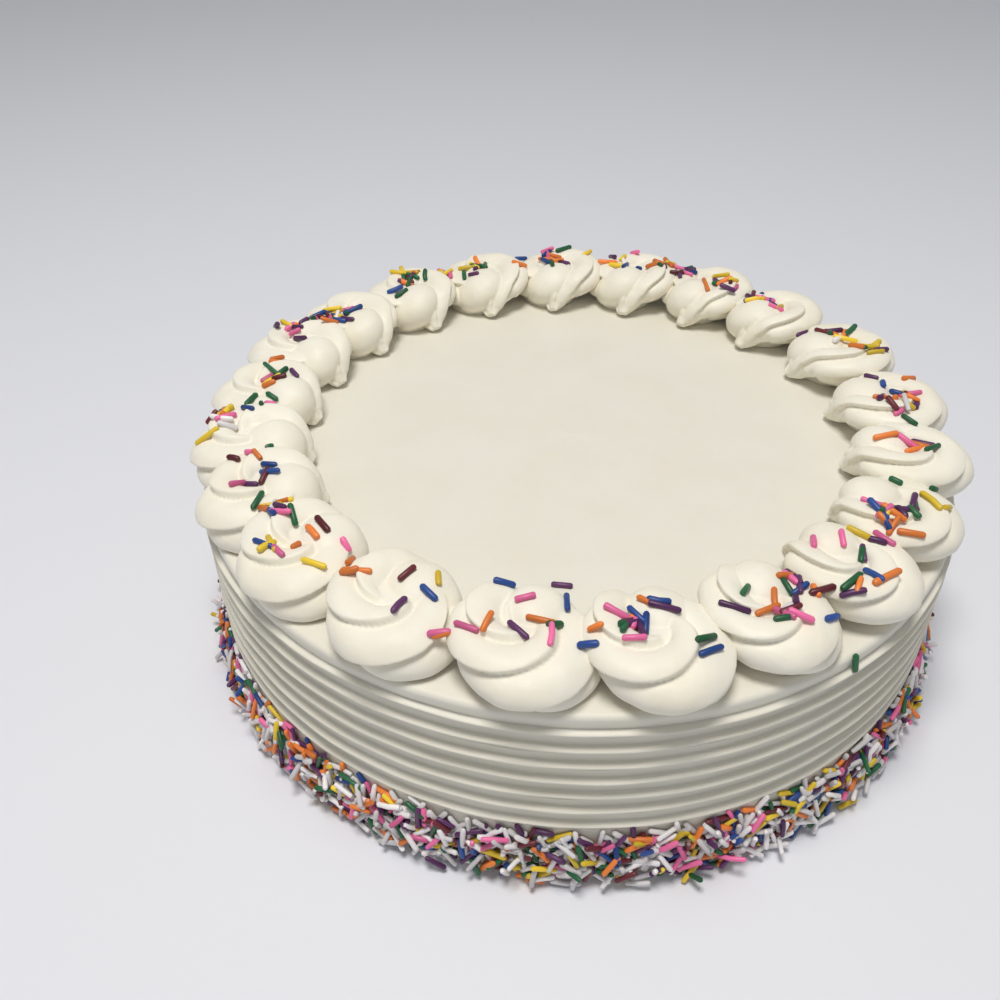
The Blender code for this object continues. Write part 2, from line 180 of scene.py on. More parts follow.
# The band of sprinkles round the foot
BAND_SEED = 31
BAND_TOP = 21.5 * MM
BAND_CORE_INSET = 1.0 * MM        # the icing behind the sprinkles lies this far inside the crests
BAND_CORE_OVER = 1.2 * MM         # it reaches this far over the band's top
BAND_CORE_FADE = 1.5 * MM         # and passes into the ridges over this height
BAND_OVER = 0.5 * MM              # how far the sprinkles may stand over the band's top
BAND_TUCK = 0.6                   # share of its own reach that a sprinkle keeps under that
BAND_SLUMP = 2.4 * MM             # how far the heap slumps out at the foot
USUAL_LENGTH = 0.8                # share of the longest sprinkle that most of them come to
GOLDEN_TURN = 360.0 * (math.sqrt(5.0) - 1.0) / 2.0    # spreads them evenly round the foot
BEARING_STRAY = 1.0               # degrees

# Layers of the band: a count, a distance out from the icing, its spread, and the most tilt
BAND_LAYERS = (
    (1300, 0.2 * MM, 0.3 * MM, 8.0),
    (1200, 1.4 * MM, 0.4 * MM, 16.0),
    (650, 2.5 * MM, 0.6 * MM, 30.0),
    (130, 3.4 * MM, 0.9 * MM, 65.0),
)

# Sprinkles thrown over the swirls, in small patches and loose, with reaches in mm from the ring
SWIRL_SEED = 57
PATCH_COUNT = 2                   # for each swirl
PATCH_TURN = 8.0                  # degrees that a patch lies to either side of its swirl's middle
PATCH_REACH = (-3.0, 8.0)
PATCH_SIZES = (1, 2, 3, 5, 6, 8)
PATCH_SPREAD = 2.8 * MM
LOOSE_COUNT = 4
LOOSE_TURN = 9.0
LOOSE_REACH = (-9.0, 12.0)
DROP_HEIGHT = 2.0 * CAKE_HEIGHT   # they are dropped from here
REST_REACH = 0.42                 # a sprinkle rests at this share of its length from its middle
REST_LIFT = 0.32                  # and is lifted by this share of its width
THROWN_STEEPEST = 1.6             # most rise from end to end, against the reach of one end
CLEAR_STEEPEST = 4.0

# The sprinkles on the swirls that stand out most, and the purple one on the flat top: colour,
# bearing, distance from the middle in mm, heading from the line to the middle, length in mm
CLEAR_SPRINKLES = (
    ("purple", -91.0, 75.0, 87.0, 6.0),
    ("blue", -100.0, 92.0, 105.0, 6.0),
    ("pink", -96.0, 98.0, 110.0, 5.5),
    ("blue", -110.0, 102.0, 70.0, 6.0),
    ("pink", -106.0, 112.0, 107.0, 6.0),
    ("orange", -86.0, 106.0, 83.0, 4.5),
    ("blue", -87.0, 110.0, 78.0, 5.5),
    ("purple", -76.0, 101.0, 71.0, 8.5),
    ("green", -82.0, 106.0, 155.0, 7.5),
    ("purple", -80.0, 107.0, 180.0, 7.0),
    ("orange", -60.0, 105.0, 148.0, 6.0),
    ("blue", -55.0, 116.0, 94.0, 5.5),
    ("orange", -45.0, 116.0, 81.0, 10.0),
    ("orange", -34.0, 112.0, 27.0, 7.5),
    ("pink", -37.0, 107.0, 168.0, 7.0),
    ("pink", -43.0, 100.0, 135.0, 5.5),
    ("yellow", -25.0, 117.0, 75.0, 6.0),
    ("orange", 10.0, 113.0, 30.0, 7.5),
    ("blue", 6.0, 106.0, 146.0, 4.5),
    ("orange", 2.0, 98.0, 4.0, 4.5),
    ("yellow", -166.0, 118.0, 10.0, 9.0),
    ("blue", -142.0, 107.0, 87.0, 10.0),
    ("pink", -151.0, 111.0, 28.0, 6.0),
    ("maroon", -151.0, 103.0, 48.0, 6.0),
    ("yellow", -128.0, 109.0, 110.0, 7.5),
    ("yellow", -135.0, 113.0, 77.0, 8.0),
    ("maroon", -133.0, 99.0, 84.0, 7.0),
    ("pink", -128.0, 98.0, 83.0, 4.5),
    ("green", -159.0, 99.0, 109.0, 6.0),
)

# One hangs over the edge of the flat top
HANGING_BEARING = -52.0
HANGING_LENGTH = 5.5 * MM
HANGING_INSET = 0.7 * MM          # its middle is this far inside the cake's radius
HANGING_DROP = 0.4                # and this share of its length under the top
HANGING_TILT = 0.2                # how far it leans out for each length down

# Icing: colours, texture scales in features for each metre, and the soft glow under the surface
CAKE_CREAM = (0.79, 0.765, 0.68)
CAKE_CREAM_SHADED = (0.775, 0.745, 0.65)
SWIRL_CREAM = (0.895, 0.86, 0.75)
SWIRL_CREAM_SHADED = (0.875, 0.83, 0.70)
MOTTLE_SCALE = 45.0
MOTTLE_SHADED = 0.35
MOTTLE_CLEAR = 0.62
SHEEN_SCALE = 160.0
ICING_ROUGHNESS = (0.38, 0.62)
ICING_GLOW = 0.10
ICING_GLOW_RADIUS = (1.0, 0.75, 0.45)
ICING_GLOW_DEPTH = 0.7 * MM
ICING_BENDING = 1.42
DIMPLE_SCALE = 210.0
DIMPLE_DEPTH = 0.14 * MM
PIT_SCALE = 900.0
PIT_DEPTH = 0.05 * MM
ICING_BUMP = 0.4
USUAL_DETAIL = 3.0
FINE_DETAIL = 4.0

# Sugar of the sprinkles
SUGAR_DARKEST = 0.72              # as shares of a sprinkle's own colour
SUGAR_LIGHTEST = 1.18
SUGAR_LIFT = 0.01
SUGAR_SCALE = 700.0
SUGAR_ROUGHNESS = (0.28, 0.55)
SUGAR_GLOW = 0.08
SUGAR_GLOW_DEPTH = 0.5 * MM
SUGAR_GRAIN_SCALE = 2500.0
SUGAR_GRAIN_DEPTH = 0.04 * MM
SUGAR_BUMP = 0.6

# The floor, the sky and the lamp
FLOOR_COLOUR = (0.80, 0.815, 0.87)
FLOOR_ROUGHNESS = 0.7
FLOOR_HALF = 4.0
FLOOR_DROP = 0.2 * MM             # how far it lies under the cake
SKY_COLOUR = (0.97, 0.98, 1.0)
SKY_STRENGTH = 0.35
LAMP_PLACE = (-0.08, -0.24, 1.20)
LAMP_AIM = (0.0, 0.0, 0.04)
LAMP_SIZE = 0.40
LAMP_POWER = 9.5
LAMP_COLOUR = (1.0, 0.97, 0.92)

# The camera, fitted to the combed ridges and the ring of swirls
CAMERA_DISTANCE = 0.36435
CAMERA_ELEVATION = 39.834
CAMERA_LIFT = 23.3 * MM
CAMERA_PAN = -5.103
CAMERA_TILT = -1.848
CAMERA_ROLL = -0.686
CAMERA_LENS = 36.0
SENSOR_WIDTH = 36.0
CLIP_START = 0.01

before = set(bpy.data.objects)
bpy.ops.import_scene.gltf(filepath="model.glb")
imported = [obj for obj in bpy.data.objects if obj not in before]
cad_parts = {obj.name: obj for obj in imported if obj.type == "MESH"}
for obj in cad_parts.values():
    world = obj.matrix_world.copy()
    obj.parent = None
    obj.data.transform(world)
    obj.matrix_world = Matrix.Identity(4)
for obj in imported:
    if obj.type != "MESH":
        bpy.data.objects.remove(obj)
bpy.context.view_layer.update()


# Small helpers

def polar(distance, bearing, height):
    turned = math.radians(bearing)
    return Vector((distance * math.cos(turned), distance * math.sin(turned), height))


def object_from_arrays(name, places, faces, material):
    """Makes a smooth mesh object from an array of places and a list of faces."""
    mesh = bpy.data.meshes.new(name)
    mesh.from_pydata(places, [], faces)
    mesh.update()
    mesh.shade_smooth()
    mesh.materials.append(material)
    thing = bpy.data.objects.new(name, mesh)
    bpy.context.scene.collection.objects.link(thing)
    return thing


def apply_modifiers(thing):
    """Replaces an object's mesh by what its modifiers make of it."""
    bpy.context.view_layer.update()
    evaluated = thing.evaluated_get(bpy.context.evaluated_depsgraph_get())
    finished = bpy.data.meshes.new_from_object(evaluated)
    thing.modifiers.clear()
    thing.data = finished


def roughen(mesh, layers, offset):
    """Moves a mesh's points along their normals by noise, but for those of a flat foot.

    Each layer has a wavelength and a height, and the offset picks another part of the noise.
    """
    places = np.empty(3 * len(mesh.vertices), np.float32)
    normals = np.empty_like(places)
    mesh.vertices.foreach_get("co", places)
    mesh.vertices.foreach_get("normal", normals)
    places = places.reshape(-1, 3)
    shift = Vector((offset, 0.5 * offset, 0.0))
    push = np.empty((len(places), 1), np.float32)
    for number, place in enumerate(places):
        spot = Vector(place) + shift
        push[number] = sum(height * noise.noise(spot / length) for length, height in layers)
    push[places[:, 2] <= 0.0] = 0.0
    mesh.vertices.foreach_set("co", (places + push * normals.reshape(-1, 3)).ravel())
    mesh.update()


# Materials

def new_material(name):
    """A new material and its Principled shader."""
    material = bpy.data.materials.new(name)
    material.use_nodes = True
    return material, material.node_tree.nodes["Principled BSDF"]


def own_place(tree):
    """The place on the object itself, in metres."""
    return tree.nodes.new("ShaderNodeTexCoord").outputs["Object"]


def noise_value(tree, place, scale, detail=USUAL_DETAIL):
    """The value of a noise texture, where scale is in features for each metre."""
    texture = tree.nodes.new("ShaderNodeTexNoise")
    texture.inputs["Scale"].default_value = scale
    texture.inputs["Detail"].default_value = detail
    tree.links.new(place, texture.inputs["Vector"])
    return texture.outputs["Fac"]


def colour_between(tree, value, first_stop, last_stop):
    """Turns a value into a colour between two stops, each a position and a colour."""
    ramp = tree.nodes.new("ShaderNodeValToRGB")
    for element, (position, colour) in zip(ramp.color_ramp.elements, (first_stop, last_stop)):
        element.position = position
        element.color = (*colour, 1.0)
    tree.links.new(value, ramp.inputs["Fac"])
    return ramp.outputs["Color"]


def scaled_value(tree, value, low, high):
    """Maps a value from 0..1 to low..high."""
    spread = tree.nodes.new("ShaderNodeMapRange")
    spread.inputs["To Min"].default_value = low
    spread.inputs["To Max"].default_value = high
    tree.links.new(value, spread.inputs["Value"])
    return spread.outputs["Result"]


def bump(tree, shader, layers, strength):
    """Chains bump nodes, each a height value and a distance in metres."""
    normal = None
    for value, distance in layers:
        node = tree.nodes.new("ShaderNodeBump")
        node.inputs["Distance"].default_value = distance
        node.inputs["Strength"].default_value = strength
        tree.links.new(value, node.inputs["Height"])
        if normal is not None:
            tree.links.new(normal, node.inputs["Normal"])
        normal = node.outputs["Normal"]
    tree.links.new(normal, shader.inputs["Normal"])


def icing_material(name, colour, shaded):
    """Satin buttercream: faint mottling, tiny pits and a soft glow under the surface."""
    material, shader = new_material(name)
    tree = material.node_tree
    place = own_place(tree)
    mottle = noise_value(tree, place, MOTTLE_SCALE, FINE_DETAIL)
    tint = colour_between(tree, mottle, (MOTTLE_SHADED, shaded), (MOTTLE_CLEAR, colour))
    tree.links.new(tint, shader.inputs["Base Color"])
    sheen = noise_value(tree, place, SHEEN_SCALE)
    tree.links.new(scaled_value(tree, sheen, *ICING_ROUGHNESS), shader.inputs["Roughness"])
    shader.inputs["Subsurface Weight"].default_value = ICING_GLOW
    shader.inputs["Subsurface Radius"].default_value = ICING_GLOW_RADIUS
    shader.inputs["Subsurface Scale"].default_value = ICING_GLOW_DEPTH
    shader.inputs["IOR"].default_value = ICING_BENDING
    pits = noise_value(tree, place, PIT_SCALE, FINE_DETAIL)
    dimples = noise_value(tree, place, DIMPLE_SCALE)
    bump(tree, shader, ((dimples, DIMPLE_DEPTH), (pits, PIT_DEPTH)), ICING_BUMP)
    return material


def sprinkle_material(name, colour):
    """Waxy pressed sugar, a little lighter or darker from one rod to the next."""
    material, shader = new_material(name)
    tree = material.node_tree
    place = own_place(tree)
    shade = tree.nodes.new("ShaderNodeAttribute")
    shade.attribute_name = "shade"
    dark = tuple(SUGAR_DARKEST * part for part in colour)
    light = tuple(min(1.0, SUGAR_LIGHTEST * part + SUGAR_LIFT) for part in colour)
    tint = colour_between(tree, shade.outputs["Fac"], (0.0, dark), (1.0, light))
    tree.links.new(tint, shader.inputs["Base Color"])
    cloud = noise_value(tree, place, SUGAR_SCALE)
    tree.links.new(scaled_value(tree, cloud, *SUGAR_ROUGHNESS), shader.inputs["Roughness"])
    shader.inputs["Subsurface Weight"].default_value = SUGAR_GLOW
    shader.inputs["Subsurface Scale"].default_value = SUGAR_GLOW_DEPTH
    grain = noise_value(tree, place, SUGAR_GRAIN_SCALE)
    bump(tree, shader, ((grain, SUGAR_GRAIN_DEPTH),), SUGAR_BUMP)
    return material


# The iced cake

def crest_depth(rise):
    """Depth of the combed groove at a rise above the lowest crest, in ridge pitches."""
    share = rise % 1.0
    nearest = np.minimum(share, 1.0 - share)
    rounding = CREST_FALL * (np.minimum(nearest, CREST_HALF) / CREST_HALF) ** 2
    width = np.where(share < 0.5, CREST_SHELF, CREST_UNDERSIDE)
    wall = np.clip((nearest - CREST_HALF) / width, 0.0, 1.0)
    fall = wall * wall * (3.0 - 2.0 * wall)
    scoop = FLOOR_SCOOP * np.sin(math.pi * share) * fall
    return GROOVE_DEPTH * (rounding + WALL_FALL * fall + scoop)


def wave_sum(waves, bearing, row=1):
    """Adds up waves round the cake at an array of bearings in radians."""
    return sum(share * np.sin(count * bearing + shift * row) for count, shift, share in waves)


def crest_wander(height, bearing):
    """How far the crests stray up or down, which dies out at the foot and at the top edge."""
    calm_top = np.clip((CAKE_HEIGHT - CALM_EDGE - height) / CALM_FADE, 0.0, 1.0)
    calm_foot = np.clip(height / BAND_TOP, 0.0, 1.0)
    return RIDGE_WANDER * wave_sum(WANDER_WAVES, bearing) * calm_top * calm_foot


def side_radius(height, bearing):
    """Outer radius of one ring of the iced side at an array of bearings in radians."""
    rise = (height - LOWEST_RIDGE) / RIDGE_PITCH
    uneven = wave_sum(CREST_WAVES, bearing, round(rise))
    radius = CAKE_RADIUS - crest_depth(rise) + CREST_UNEVEN * (uneven - UNEVEN_INWARD)
    below = np.clip((BAND_TOP + BAND_CORE_OVER - height) / BAND_CORE_FADE, 0.0, 1.0)
    radius += below * (CAKE_RADIUS - BAND_CORE_INSET - radius)
    above = np.clip((rise - (RIDGE_COUNT - 1)) / TOP_EDGE_FADE, 0.0, 1.0)
    return radius + above * (CAKE_RADIUS - TOP_EDGE_INSET - radius)


def top_wave(share, bearings):
    """Height of the flat top's faint waves at a share of the way from its middle to its rim."""
    sway = RIPPLE_SWAY * np.sin(bearings)
    wave = RIPPLE_HEIGHT * np.sin(RIPPLE_COUNT * math.pi * share + sway)
    wave += ROLL_HEIGHT * np.sin(ROLL_COUNT * bearings + ROLL_TWIST * share)
    return wave


def cake_grid():
    """Rings of places from the foot of the side to the middle of the top."""
    bearings = math.tau * np.arange(CAKE_COLUMNS) / CAKE_COLUMNS
    edge_start = CAKE_HEIGHT - TOP_EDGE_ROUND
    fine_start = BAND_TOP - FINE_BELOW_BAND
    behind_band = np.arange(0.0, fine_start, BAND_STEP)
    combed = np.arange(fine_start, edge_start, SIDE_STEP)
    rings = []
    for height in np.concatenate([behind_band, combed]):
        rings.append((side_radius(height, bearings), height + crest_wander(height, bearings)))
    edge = side_radius(edge_start, bearings)
    for turn in np.linspace(0.0, 0.5 * math.pi, TOP_EDGE_RINGS):
        radius = edge - TOP_EDGE_ROUND * (1.0 - math.cos(turn))
        height = edge_start + TOP_EDGE_ROUND * math.sin(turn)
        rings.append((radius, np.full(CAKE_COLUMNS, height)))
    rim = rings[-1][0]
    for step in range(1, TOP_RINGS):
        share = 1.0 - step / TOP_RINGS
        settle = min(1.0, step / TOP_DIP_RINGS)
        height = CAKE_HEIGHT + settle * (top_wave(share, bearings) - TOP_DIP)
        rings.append((rim * share, height))
    grid = []
    for radius, height in rings:
        grid.append(np.stack([radius * np.cos(bearings), radius * np.sin(bearings), height], 1))
    return grid


def make_iced_cake(material):
    grid = cake_grid()
    places = np.concatenate(grid + [[[0.0, 0.0, CAKE_HEIGHT]], [[0.0, 0.0, 0.0]]])
    faces = []
    for ring in range(len(grid) - 1):
        lower = ring * CAKE_COLUMNS
        upper = lower + CAKE_COLUMNS
        for k in range(CAKE_COLUMNS):
            after = (k + 1) % CAKE_COLUMNS
            faces.append((lower + k, lower + after, upper + after, upper + k))
    last = (len(grid) - 1) * CAKE_COLUMNS
    top, foot = len(places) - 2, len(places) - 1
    for k in range(CAKE_COLUMNS):
        after = (k + 1) % CAKE_COLUMNS
        faces.append((last + k, last + after, top))
        faces.append((after, k, foot))
    cake = object_from_arrays("iced_cake", places, faces, material)
    roughen(cake.data, CAKE_UNEVENNESS, CAKE_NOISE_OFFSET)
    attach(cake, "root")
    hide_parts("cake")
    return cake


# Piped swirls

def swirl_border(number):
    """Bearing half-way between a swirl and the next one round."""
    count = len(SWIRL_BEARINGS)
    here = SWIRL_BEARINGS[number % count]
    gap = (SWIRL_BEARINGS[(number + 1) % count] - here) % 360.0
    return here + gap / 2.0


def swirl_squeeze(number):
    """How much narrower or wider a swirl is than most, by the room that it has."""
    room = (swirl_border(number) - swirl_border(number - 1)) % 360.0
    return min(max(room * len(SWIRL_BEARINGS) / 360.0, LEAST_SQUEEZE), MOST_SQUEEZE)


def path_station(share):
    """Reads the piped path at a share of its length, on a smooth curve through its points."""
    place = share * (len(PIPED_PATH) - 1)
    first = min(int(place), len(PIPED_PATH) - 2)
    t = place - first
    nearby = [PIPED_PATH[min(max(first + step, 0), len(PIPED_PATH) - 1)]
              for step in (-1, 0, 1, 2)]
    station = []
    for before, low, high, after in zip(*nearby):
        bend = 2.0 * before - 5.0 * low + 4.0 * high - after
        turn = 3.0 * low - before - 3.0 * high + after
        station.append(low + 0.5 * t * (high - before + t * (bend + t * turn)))
    return station


def flute(angle):
    """Radius of the fluted rope: each flute swells from its crease, then ends in a crisp lip."""
    share = (ROPE_FLUTES * angle / math.tau) % 1.0
    if share < FLUTE_LIP:
        swell = math.sin(0.5 * math.pi * share / FLUTE_LIP) ** FLUTE_SWELL
    else:
        swell = math.sqrt(1.0 - ((share - FLUTE_LIP) / (1.0 - FLUTE_LIP)) ** 2)
    return 1.0 - FLUTE_DEPTH * (1.0 - swell)


def rope_rings(draw):
    """Rings of the fluted rope along its path, each swirl a little different."""
    turned = draw.uniform(-TURN_SPREAD, TURN_SPREAD)
    size = draw.uniform(SMALLEST_SIZE, LARGEST_SIZE)
    drift = draw.uniform(-CREASE_SPREAD, CREASE_SPREAD)
    path = []
    for step in range(PATH_STEPS):
        angle, distance, height, rope = path_station(step / (PATH_STEPS - 1))
        middle = polar(size * distance * MM, angle + turned, height * MM)
        twist = drift - FIRST_CREASE - FLUTE_TWIST * (angle - RIM_ANGLE)
        path.append((middle, size * rope * MM, math.radians(twist)))
    rings = []
    for step, (middle, rope, twist) in enumerate(path):
        before = path[max(step - 1, 0)][0]
        after = path[min(step + 1, PATH_STEPS - 1)][0]
        forward = (after - before).normalized()
        across = forward.cross(Vector((0.0, 0.0, 1.0))).normalized()
        upward = across.cross(forward)
        ring = []
        for side in range(ROPE_SIDES):
            angle = math.tau * side / ROPE_SIDES
            radius = rope * flute(angle + twist)
            ring.append(middle + radius * (math.cos(angle) * across + math.sin(angle) * upward))
        rings.append(ring)
    return rings


def round_ring(middle, reach, rise):
    """A level ring of places round a middle."""
    return [middle + polar(reach, 360.0 * k / ROPE_SIDES, rise) for k in range(ROPE_SIDES)]


def ball_rings():
    """The ball that the rope starts from."""
    rings = []
    for step in range(1, BALL_STEPS):
        rise = math.pi * (step / BALL_STEPS - 0.5)
        middle = Vector(BALL_MIDDLE) + Vector((0.0, 0.0, BALL_RADIUS * math.sin(rise)))
        rings.append(round_ring(middle, BALL_RADIUS * math.cos(rise), 0.0))
    return rings


def core_rings():
    """A low dome that fills the middle of the turn."""
    rings = []
    for share in CORE_LEVELS:
        reach = CORE_RADIUS * math.sqrt(1.0 - share * share)
        rings.append(round_ring(Vector(), reach, share * CORE_HEIGHT))
    return rings


def loft(mesh_data, rings):
    """Joins rings with quads, and closes both ends with fans."""
    made = [[mesh_data.verts.new(corner) for corner in ring] for ring in rings]
    count = len(made[0])
    for lower, upper in zip(made, made[1:]):
        for k in range(count):
            after = (k + 1) % count
            mesh_data.faces.new((lower[k], lower[after], upper[after], upper[k]))
    for ring, order in ((made[0], -1), (made[-1], 1)):
        tip = mesh_data.verts.new(sum((vertex.co for vertex in ring), Vector()) / count)
        for k in range(count):
            pair = (ring[k], ring[(k + 1) % count])[::order]
            mesh_data.faces.new((pair[0], pair[1], tip))


def swirl_mesh(number, draw):
    """The rope, the ball and the core of a swirl, leaning and set in their place on the cake."""
    mesh_data = bmesh.new()
    for rings in (rope_rings(draw), ball_rings(), core_rings()):
        loft(mesh_data, rings)
    for vertex in mesh_data.verts:
        above = vertex.co.z - LEAN_HEIGHT
        vertex.co += Vector((LEAN_ALONG * above, LEAN_INWARD * above, 0.0))
        vertex.co.x *= SPREAD_ALONG * swirl_squeeze(number)
        vertex.co.y *= SPREAD_ACROSS
    bearing = SWIRL_BEARINGS[number]
    distance = SWIRL_RING_RADIUS + draw.uniform(-PLACE_SPREAD, PLACE_SPREAD) * MM
    place = Matrix.Translation(polar(distance, bearing, CAKE_HEIGHT))
    face_inward = Matrix.Rotation(math.radians(bearing + 90.0), 4, "Z")
    mesh_data.transform(place @ face_inward)
    mesh = bpy.data.meshes.new("fine_swirl")
    mesh_data.to_mesh(mesh)
    mesh_data.free()
    return mesh


def make_fine_swirl(number, material):
    """A swirl with its parts melted into one skin, cut off just inside the cake's top."""
    draw = random.Random(FIRST_SWIRL_SEED + number)
    swirl = bpy.data.objects.new(f"piped_swirl_{number + 1:02d}", swirl_mesh(number, draw))
    bpy.context.scene.collection.objects.link(swirl)
    remesh = swirl.modifiers.new("remesh", "REMESH")
    remesh.mode = "VOXEL"
    remesh.voxel_size = REMESH_SIZE
    smooth = swirl.modifiers.new("smooth", "SMOOTH")
    smooth.factor = SMOOTHING
    smooth.iterations = 1
    apply_modifiers(swirl)
    drop_below_top(swirl.data)
    roughen(swirl.data, SWIRL_UNEVENNESS, number + 1.0)
    swirl.data.shade_smooth()
    swirl.data.materials.clear()
    swirl.data.materials.append(material)
    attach(swirl, "root")
    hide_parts(f"swirl_{number + 1:02d}")
    return swirl


def drop_below_top(mesh):
    """Cuts off what reaches down into the cake, and closes the foot."""
    mesh_data = bmesh.new()
    mesh_data.from_mesh(mesh)
    everything = list(mesh_data.verts) + list(mesh_data.edges) + list(mesh_data.faces)
    cut = bmesh.ops.bisect_plane(
        mesh_data, geom=everything, dist=CUT_TOLERANCE, clear_inner=True,
        plane_co=(0.0, 0.0, CAKE_HEIGHT - SWIRL_SINK), plane_no=(0.0, 0.0, 1.0))
    rim = [piece for piece in cut["geom_cut"] if isinstance(piece, bmesh.types.BMEdge)]
    bmesh.ops.holes_fill(mesh_data, edges=rim)
    mesh_data.to_mesh(mesh)
    mesh_data.free()


# Sprinkles

def add_rod(places, faces, shades, rod):
    """Adds one sprinkle with blunt rounded ends and a slight bend."""
    middle, direction, length, width, bend, shade = rod
    turn = direction.to_track_quat("Z", "Y").to_matrix()
    start = len(places)
    for along, reach, inset in ROD_ROWS:
        sag = bend * length * (1.0 - 4.0 * along * along)
        lift = along * length + inset * width
        for side in range(SPRINKLE_SIDES):
            spot = polar(0.5 * reach * width, 360.0 * side / SPRINKLE_SIDES, lift)
            spot.x += sag
            places.append(middle + turn @ spot)
            shades.append(shade)
    for row in range(len(ROD_ROWS) - 1):
        lower = start + row * SPRINKLE_SIDES
        upper = lower + SPRINKLE_SIDES
        for side in range(SPRINKLE_SIDES):
            after = (side + 1) % SPRINKLE_SIDES
            faces.append((lower + side, lower + after, upper + after, upper + side))
    faces.append(tuple(range(start + SPRINKLE_SIDES - 1, start - 1, -1)))
    faces.append(tuple(range(len(places) - SPRINKLE_SIDES, len(places))))


def make_sprinkles(colour_name, rods):
    """All sprinkles of one colour, as one mesh."""
    places, faces, shades = [], [], []
    for rod in rods:
        add_rod(places, faces, shades, rod)
    colour = SPRINKLE_KINDS[colour_name][0]
    material = sprinkle_material(f"{colour_name}_sugar", colour)
    thing = object_from_arrays(f"{colour_name}_sprinkles", places, faces, material)
    shade = thing.data.attributes.new("shade", "FLOAT", "POINT")
    shade.data.foreach_set("value", shades)
    thing.data.set_sharp_from_angle(angle=math.radians(SHARP_ANGLE))
    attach(thing, "root")
    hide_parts("cake")


def any_kind(draw, column):
    """Draws a colour by how often each comes in the band or on the swirls."""
    names = list(SPRINKLE_KINDS)
    return draw.choices(names, [SPRINKLE_KINDS[name][column] for name in names])[0]


def random_rod(draw, middle, direction, usual_width=SPRINKLE_WIDTH):
    """A sprinkle at a place: its middle, direction, length, width, bend and shade."""
    length = draw.triangular(SHORT_SPRINKLE, LONG_SPRINKLE, 0.5 * (SHORT_SPRINKLE + LONG_SPRINKLE))
    width = usual_width * draw.uniform(THINNEST, THICKEST)
    bend = draw.choice((0.0, 0.0, draw.uniform(-MOST_BEND, MOST_BEND)))
    return middle, direction, length, width, bend, draw.random()


def with_length(rod, length):
    """The same sprinkle, this long."""
    return rod[:2] + (length,) + rod[3:]


def band_direction(draw, bearing, tilt):
    """A way to lie against the side at a bearing, tilted out or in by up to the tilt."""
    lean = math.radians(draw.uniform(-90.0, 90.0))
    out = math.radians(draw.uniform(-tilt, tilt))
    outward = polar(1.0, bearing, 0.0)
    along = polar(1.0, bearing + 90.0, 0.0)
    flat = along * math.cos(lean) + Vector((0.0, 0.0, math.sin(lean)))
    return (flat * math.cos(out) + outward * math.sin(out)).normalized()


def band_rods(draw):
    """The heap pressed round the foot: flat layers first, then looser ones that stick out."""
    half = 0.5 * BAND_WIDTH
    rods = []
    for count, distance, spread, tilt in BAND_LAYERS:
        for number in range(count):
            bearing = number * GOLDEN_TURN + draw.uniform(-BEARING_STRAY, BEARING_STRAY)
            direction = band_direction(draw, bearing, tilt)
            share = (number + 0.5) / count
            reach = abs(direction.z) * 0.5 * LONG_SPRINKLE * USUAL_LENGTH + half
            room = BAND_TOP + BAND_OVER - BAND_TUCK * reach - distance
            height = reach + share * max(room - reach, 0.0)
            slump = BAND_SLUMP * (1.0 - height / BAND_TOP) ** 2
            base = CAKE_RADIUS - BAND_CORE_INSET + distance + slump
            middle = polar(base + draw.uniform(-spread, spread) + half, bearing, height)
            kind = any_kind(draw, IN_BAND)
            rods.append((kind, random_rod(draw, middle, direction, BAND_WIDTH)))
    return rods


class Ground:
    """The fine icing's surface, for sprinkles to lie on."""

    def __init__(self, things):
        places, faces = [], []
        for thing in things:
            start = len(places)
            places += [vertex.co.copy() for vertex in thing.data.vertices]
            faces += [tuple(start + k for k in face.vertices) for face in thing.data.polygons]
        self.tree = BVHTree.FromPolygons(places, faces)

    def below(self, place):
        """Where a line straight down through a place meets the icing, or None."""
        over = Vector((place.x, place.y, DROP_HEIGHT))
        return self.tree.ray_cast(over, Vector((0.0, 0.0, -1.0)))[0]

    def rest(self, draw, middle, heading, length, steepest):
        """A sprinkle dropped over a place, held up by what is under its ends and its middle.

        Where it would miss the icing or lie too steeply, there is none.
        """
        half = REST_REACH * length * heading
        first, centre, last = (self.below(middle + half * side) for side in (-1.0, 0.0, 1.0))
        if first is None or centre is None or last is None:
            return None
        if abs(last.z - first.z) > steepest * half.length:
            return None
        direction = (last - first).normalized()
        bridge = 0.5 * (first + last)
        height = max(bridge.z, centre.z) + REST_LIFT * SPRINKLE_WIDTH
        rod = random_rod(draw, Vector((bridge.x, bridge.y, height)), direction)
        return with_length(rod, length)


def swirl_rods(draw, ground):
    """Sprinkles thrown over the swirls: small patches and loose ones between them."""
    rods = []
    for bearing in SWIRL_BEARINGS:
        for patch in range(PATCH_COUNT):
            patch_bearing = bearing + draw.uniform(-PATCH_TURN, PATCH_TURN)
            patch_distance = SWIRL_RING_RADIUS + draw.uniform(*PATCH_REACH) * MM
            for member in range(draw.choice(PATCH_SIZES)):
                spot = polar(patch_distance, patch_bearing, 0.0)
                spot += Vector((draw.gauss(0.0, PATCH_SPREAD), draw.gauss(0.0, PATCH_SPREAD), 0.0))
                rods.append(thrown(draw, ground, spot))
        for loose in range(LOOSE_COUNT):
            distance = SWIRL_RING_RADIUS + draw.uniform(*LOOSE_REACH) * MM
            spot = polar(distance, bearing + draw.uniform(-LOOSE_TURN, LOOSE_TURN), 0.0)
            rods.append(thrown(draw, ground, spot))
    return [pair for pair in rods if pair[1] is not None]


